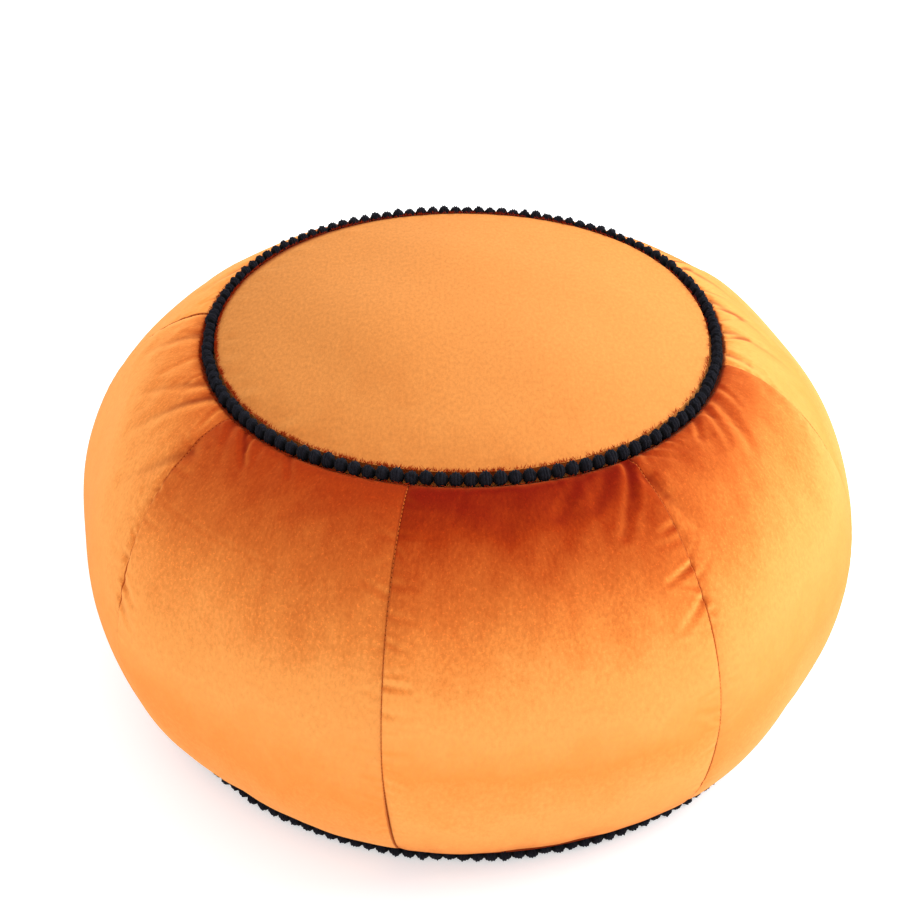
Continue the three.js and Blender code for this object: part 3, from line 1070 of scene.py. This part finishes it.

# %% [markdown]
# ## Crushed pile and painted shade
# Where the braid, a seam or a tight tuck presses on the pile it lies flat, and the same places lie
# in shade. The mask darkens the velvet's colour there towards a deep red: painted shade, with some
# crushed pile. The map "edge" holds those distances in metres, so soft steps over them give the
# mask, deepest close to the braid.

# %% Crushed pile and painted shade
from_braid, from_seam = map_sides(pile, "edge")
by_braid = ranged(pile, from_braid, (1 * MM, 9 * MM), (0.9, 0), soft=True)
seam_depth = ranged(pile, from_braid, (20 * MM, 130 * MM), (0.7, 0.2))
by_seam = ranged(pile, from_seam, (0.2 * MM, 1.6 * MM), (seam_depth, 0), soft=True)
# Painted shade, with some crushed pile, under the braid and along seams and deep creases
crush_and_painted_shade = maths(pile, "MAXIMUM", by_braid, by_seam)
print("with the crushed pile the group has", len(pile.nodes), "nodes")

# %% [markdown]
# ## The lean of the pile
# The cross product of the panel's axis and the surface normal points down the cloth, and a
# second one points across it. The pile's normal is the surface normal bent along both, more or
# less where the cloth was brushed. The surface normal itself gets only a fine bump of fibres.

# %% Leaning pile
surface = add_node(pile, "NewGeometry").outputs["Normal"]
down = vector_maths(pile, "CROSS_PRODUCT", pile_given["Panel Axis"], surface)
across = vector_maths(pile, "CROSS_PRODUCT", surface, down)
brushed = centred(pile, patches, pile_given["Brushing"])
flecked = centred(pile, flecks, pile_given["Speckle"])
swept = vector_maths(pile, "DOT_PRODUCT", cloth_map, pile_given["Sweep"])
uneven_lean = sum_of(pile, brushed, flecked)
full_lean = sum_of(pile, pile_given["Lean Down"], swept, uneven_lean)
leaning = vector_maths(pile, "SCALE", down, Scale=full_lean)
sideways = vector_maths(pile, "SCALE", across, Scale=pile_given["Lean Across"])
bent = vector_maths(pile, "ADD", vector_maths(pile, "ADD", surface, leaning), sideways)
fibre_bump = add_node(pile, "Bump", Strength=0.3, Distance=0.4 * MM, Height=fibres)
for label, value in (
    ("Pile Normal", vector_maths(pile, "NORMALIZE", bent)),
    ("Surface Normal", fibre_bump.outputs[0]),
    ("Flecks", flecks), ("Painted Hair Glints", painted_hair_glints), ("Crush And Painted Shade", crush_and_painted_shade),
):
    pile.links.new(value, pile_out.inputs[label])
print("pile group has", len(pile.nodes), "nodes")

# %% [markdown]
# ## From deep red-brown to light gold
# The dye is one colour. The scale from nearly red, where the eye looks down into the pile, to
# gold, where it looks along the fibre tips, is painted sheen in the base colour. A second group
# holds that scale once, for every velvet.

# %% Velvet painted sheen group
# Painted sheen: base colours by how far the pile is seen from the side, from end on to side on
painted_sheen_scale = [
    (0.00, (0.190, 0.006, 0.0005)),
    (0.10, (0.345, 0.034, 0.003)),
    (0.20, (0.480, 0.080, 0.011)),
    (0.32, (0.620, 0.142, 0.023)),
    (0.45, (0.780, 0.232, 0.044)),
    (0.60, (0.930, 0.335, 0.076)),
    (0.75, (0.980, 0.370, 0.090)),
    (1.00, (0.980, 0.295, 0.056)),
]
# Painted shade: the deep red that the colour is pulled towards where pile is crushed and shaded
crush_and_shade_colour = (0.150, 0.004, 0.0004, 1)
fleck_strength = 0.4
velvet_painted_sheen, colour_in, colour_out = new_group(
    "velvet_painted_sheen",
    [
        ("Facing", "Float", 0.5), ("Flecks", "Float", 0.5), ("Painted Hair Glints", "Float", 0.0),
        ("Crush And Painted Shade", "Float", 0.0), ("Strength", "Float", 1.0),
        ("Strength Across", "Float", 0.0), ("Least Facing", "Float", 0.0),
    ],
    [("Colour", "Color")],
)
colour_given = colour_in.outputs
facing = colour_given["Facing"]
raised_facing = ranged(velvet_painted_sheen, facing, (0, 1), (colour_given["Least Facing"], 1))
# The ramp paints the sheen into the base colour
painted_sheen_ramp = add_node(velvet_painted_sheen, "ValToRGB", _0=raised_facing)
stops = painted_sheen_ramp.color_ramp.elements
while len(stops) < len(painted_sheen_scale):
    stops.new(1.0)
for stop, (place, colour) in zip(stops, painted_sheen_scale):
    stop.position = place
    stop.color = (*colour, 1)
# Painted light: the colour grows lighter towards +X of the cloth map, which the top panel uses
cloth_across = map_sides(velvet_painted_sheen, "cloth")[0]
painted_light_gradient = maths(velvet_painted_sheen, "MULTIPLY", cloth_across, colour_given["Strength Across"])
# Painted glints of curled hairs, strongest where the pile is seen end on
hair_glint_strength = ranged(velvet_painted_sheen, facing, (0.4, 0.7), (1.0, 0.1))
hair_glint_share = maths(velvet_painted_sheen, "MULTIPLY", colour_given["Painted Hair Glints"], hair_glint_strength)
fleck_share = centred(velvet_painted_sheen, colour_given["Flecks"], fleck_strength)
light_and_dark = sum_of(
    velvet_painted_sheen, fleck_share, colour_given["Strength"], painted_light_gradient, hair_glint_share,
)
# The painted sheen colour, scaled by random flecks, painted brightness, painted light and painted
# hair glints
painted_sheen_colour = vector_maths(velvet_painted_sheen, "SCALE", painted_sheen_ramp.outputs[0], Scale=light_and_dark)
# Painted shade: the colour is pulled towards deep red under the braid, at seams and in deep
# creases
deepened = add_node(
    velvet_painted_sheen, "Mix", {"data_type": "RGBA"}, Factor=colour_given["Crush And Painted Shade"],
    _6=painted_sheen_colour, _7=crush_and_shade_colour,
)
velvet_painted_sheen.links.new(deepened.outputs[2], colour_out.inputs["Colour"])
print("the colour scale has", len(stops), "stops")

# %% [markdown]
# ## One velvet for each way of the cloth
# The shader itself stays in the material, with its sheen set as plain values. Layer Weight tells
# how much the leaning pile is seen from the side, and the colour group turns that into the base
# colour, so the light and dark of the velvet are a painted sheen. Each gore gets its own copy,
# because its pile leans along the axis that the gore was cut on. The table has a row for each
# gore: the first five follow the photograph, and the other three, at the back, are like them.

# %% Velvet materials
def velvet_material(
    name, axis, lean_down, lean_across, sweep=(0, 0, 0), brushing=0.65, speckle=0.35,
    strength=1.0, strength_across=0.0, least_facing=0.0, sheen=0.10,
):
    """A velvet whose pile lies in one way of the cloth."""
    material, tree, shader = new_material(
        name, Roughness=0.85, Specular_IOR_Level=0.04,
        Sheen_Weight=sheen, Sheen_Roughness=0.4, Sheen_Tint=(1.0, 0.68, 0.34, 1),
    )
    cloth = add_node(
        tree, "Group", {"node_tree": pile}, Panel_Axis=axis, Lean_Down=lean_down,
        Lean_Across=lean_across, Sweep=sweep, Brushing=brushing, Speckle=speckle,
    )
    # Painted sheen: Layer Weight on the leaning pile picks the base colour from the scale
    side_on = add_node(tree, "LayerWeight", Blend=0.5, Normal=cloth.outputs["Pile Normal"])
    shade = add_node(
        tree, "Group", {"node_tree": velvet_painted_sheen}, Facing=side_on.outputs["Facing"],
        Strength=strength, Strength_Across=strength_across, Least_Facing=least_facing,
    )
    for label in ("Flecks", "Painted Hair Glints", "Crush And Painted Shade"):
        tree.links.new(cloth.outputs[label], shade.inputs[label])
    tree.links.new(shade.outputs["Colour"], shader.inputs["Base Color"])
    tree.links.new(cloth.outputs["Surface Normal"], shader.inputs["Normal"])
    return material


# Strength and least facing set the painted brightness of each gore's sheen, and sweep bends its
# lean down the cloth
GorePile = namedtuple("GorePile", "lean_down lean_across sweep strength least_facing sheen")
gore_piles = [
    GorePile(0.48, 0.34, 0.0, 0.90, 0.05, 0.10),
    GorePile(0.86, 0.60, 0.0, 0.92, 0.08, 0.10),
    GorePile(0.92, -0.16, 0.0, 0.96, 0.0, 0.10),
    GorePile(0.74, -0.50, 0.9, 0.92, 0.03, 0.16),
    GorePile(0.60, -0.20, 0.0, 0.95, 0.0, 0.24),
    GorePile(0.85, 0.30, 0.0, 0.9, 0.05, 0.12),
    GorePile(0.80, -0.25, 0.0, 0.9, 0.05, 0.10),
    GorePile(0.85, 0.20, 0.0, 0.9, 0.05, 0.10),
]
for number, (gore, lay) in enumerate(zip(gores, gore_piles)):
    middle = math.radians((seam_azimuths[number] + gore_ends[number]) / 2)
    axis = (math.cos(middle), math.sin(middle), 0)
    gore_velvet = velvet_material(
        f"velvet_gore_{number + 1}", axis, lay.lean_down, lay.lean_across,
        sweep=(0, lay.sweep, 0), strength=lay.strength,
        least_facing=lay.least_facing, sheen=lay.sheen,
    )
    gore.data.materials.append(gore_velvet)
# The top panel's low strength is painted shade that darkens it all over, and its lighter side
# towards +X is painted light
top_velvet = velvet_material(
    "velvet_top", (1, 0, 0), -0.13, 0.0, sweep=(-0.5, 0.6, 0), brushing=0.2, speckle=0.05,
    strength=0.635, strength_across=0.65, least_facing=0.18, sheen=0.06,
)
top_panel.data.materials.append(top_velvet)
bottom_panel.data.materials.append(top_velvet)
print("velvets:", [piece.data.materials[0].name for piece in (*gores, top_panel)])

# %% [markdown]
# ## The yarn
# Black bobbles would vanish if they were truly black. Real black yarn has a faint blue-grey
# bloom where its hairs catch the light, so it is a very dark base with a soft, cool sheen. The
# turns of yarn are packed tightest between two bobbles, and little light gets in there, so the
# colour falls off towards each neck, by the distance along the braid in its map "cloth". Thread
# and crushed tufts are plain dyed fibres.

# %% Yarn material
yarn, yarn_tree, yarn_shader = new_material(
    "black_yarn", Roughness=0.85, Specular_IOR_Level=0.1,
    Sheen_Weight=0.03, Sheen_Roughness=0.5, Sheen_Tint=(0.7, 0.75, 1.0, 1),
)
yarn_place = add_node(yarn_tree, "TexCoord").outputs["Object"]
yarn_grain = noise(yarn_tree, yarn_place, 620, Detail=4, Roughness=0.7)
yarn_colour = add_node(
    yarn_tree, "Mix", {"data_type": "RGBA"}, Factor=yarn_grain,
    _6=(0.0003, 0.0003, 0.0008, 1), _7=(0.0170, 0.0174, 0.0262, 1),
)
along_braid = map_sides(yarn_tree, "cloth")[0]
yarn_beat = maths(yarn_tree, "MULTIPLY", along_braid, math.pi / bobble_pitch)
yarn_swell = maths(yarn_tree, "ABSOLUTE", maths(yarn_tree, "SINE", yarn_beat))
yarn_open = ranged(yarn_tree, yarn_swell, (0.2, 0.85), (0.05, 1), soft=True)
yarn_shaded = vector_maths(yarn_tree, "SCALE", yarn_colour.outputs[2], Scale=yarn_open)
yarn_bump = add_node(yarn_tree, "Bump", Strength=1.0, Distance=1.4 * MM, Height=yarn_grain)
yarn_tree.links.new(yarn_shaded, yarn_shader.inputs["Base Color"])
yarn_tree.links.new(yarn_bump.outputs[0], yarn_shader.inputs["Normal"])
for braid in (top_braid, bottom_braid):
    braid.data.materials.append(yarn)


def plain_fibre(name, colour):
    """A matt dyed fibre without any pattern."""
    return new_material(
        name, Base_Color=(*colour, 1), Roughness=0.9, Specular_IOR_Level=0.05,
    )[0]


thread.data.materials.append(plain_fibre("seam_thread", (0.44, 0.082, 0.012)))
tufts.data.materials.append(plain_fibre("crushed_pile", (0.33, 0.030, 0.003)))
print("the yarn has", len(yarn_tree.nodes), "nodes")

# %% [markdown]
# ## Join it to the frame
# Every piece is parented to the one body, and the construction solids that it stands for are
# hidden, so that the dressed pieces show in their place.

# %% Frame calls
def join_frame(piece, slot, *nodes):
    """A piece rides on the one body and hides the construction solids that it stands for. The slot
    is not used.
    """
    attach(piece, "root")
    if nodes:
        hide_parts(*nodes)


for number, gore in enumerate(gores):
    join_frame(gore, "velvet", f"side_panel_{number + 1}")
join_frame(top_panel, "velvet", "top_panel")
join_frame(bottom_panel, "velvet", "bottom_panel")
join_frame(top_braid, "braid", "top_trim")
join_frame(bottom_braid, "braid", "bottom_trim")
join_frame(thread, "velvet")
join_frame(tufts, "velvet")
print("pieces joined to the frame:", len(gores) + 6)

# %% [markdown]
# ## Floor and light
# A plain pale floor and a white studio round it. Velvet shows only what its sheen catches, so
# light has to come from all round. The backdrop is the brightest side, as on a white sweep, and
# one large soft light stands at the right. The floor glows a little, as a lit table does, so that
# the shadow on it stays faint. Floor and light are no part of the cushion.

# %% Floor
floor_half = 12.0
floor_corners = [
    (x * floor_half, y * floor_half, 0) for x, y in ((-1, -1), (1, -1), (1, 1), (-1, 1))
]
floor_mesh = bpy.data.meshes.new("floor")
floor_mesh.from_pydata(floor_corners, [], [(0, 1, 2, 3)])
floor = bpy.data.objects.new("floor", floor_mesh)
scene.collection.objects.link(floor)
floor_paint = new_material(
    "pale_floor", Base_Color=(0.72, 0.72, 0.72, 1), Roughness=0.9,
    Emission_Color=(1, 1, 1, 1), Emission_Strength=0.48,
)[0]
floor_mesh.materials.append(floor_paint)
print("floor of", 2 * floor_half, "m")

# %% [markdown]
# ## The studio
# The studio is a plain white sky, brighter behind the cushion than in front of it. That gradient
# and one lamp do the work of a ring of soft boxes, without any of them in view.

# %% Light
front_brightness = 0.74
back_brightness = 1.74
world = bpy.data.worlds.new("studio")
world.use_nodes = True
sky = world.node_tree.nodes["Background"]
sky.inputs["Color"].default_value = (1, 1, 1, 1)
sky_tree = world.node_tree
sky_place = add_node(sky_tree, "TexCoord").outputs["Generated"]
sky_depth = add_node(sky_tree, "SeparateXYZ", _0=sky_place).outputs["Y"]
back_share = ranged(sky_tree, sky_depth, (-1, 1), (front_brightness, back_brightness))

# Seen directly, the studio is white all round, so that no horizon shows behind the floor
seen_directly = add_node(sky_tree, "LightPath").outputs["Is Camera Ray"]
sky_strength = maths(sky_tree, "MAXIMUM", back_share, seen_directly)
sky_tree.links.new(sky_strength, sky.inputs["Strength"])
scene.world = world


def soft_light(name, place, aim_at, size, power):
    """A round, flat lamp that is turned to face a point."""
    data = bpy.data.lights.new(name, "AREA")
    data.shape = "DISK"
    data.size = size
    data.energy = power
    light = bpy.data.objects.new(name, data)
    light.location = place
    away = np.array(place) - np.array(aim_at)
    light.rotation_euler = (
        math.atan2(math.hypot(away[0], away[1]), away[2]), 0, math.atan2(away[0], -away[1]),
    )
    scene.collection.objects.link(light)
    return light


key_light = soft_light("key", (1.9, 0.2, 1.6), aim_at=(0, 0, 0.15), size=1.6, power=44)
scene.view_settings.view_transform = "Standard"
print("the key light has", key_light.data.energy, "W")
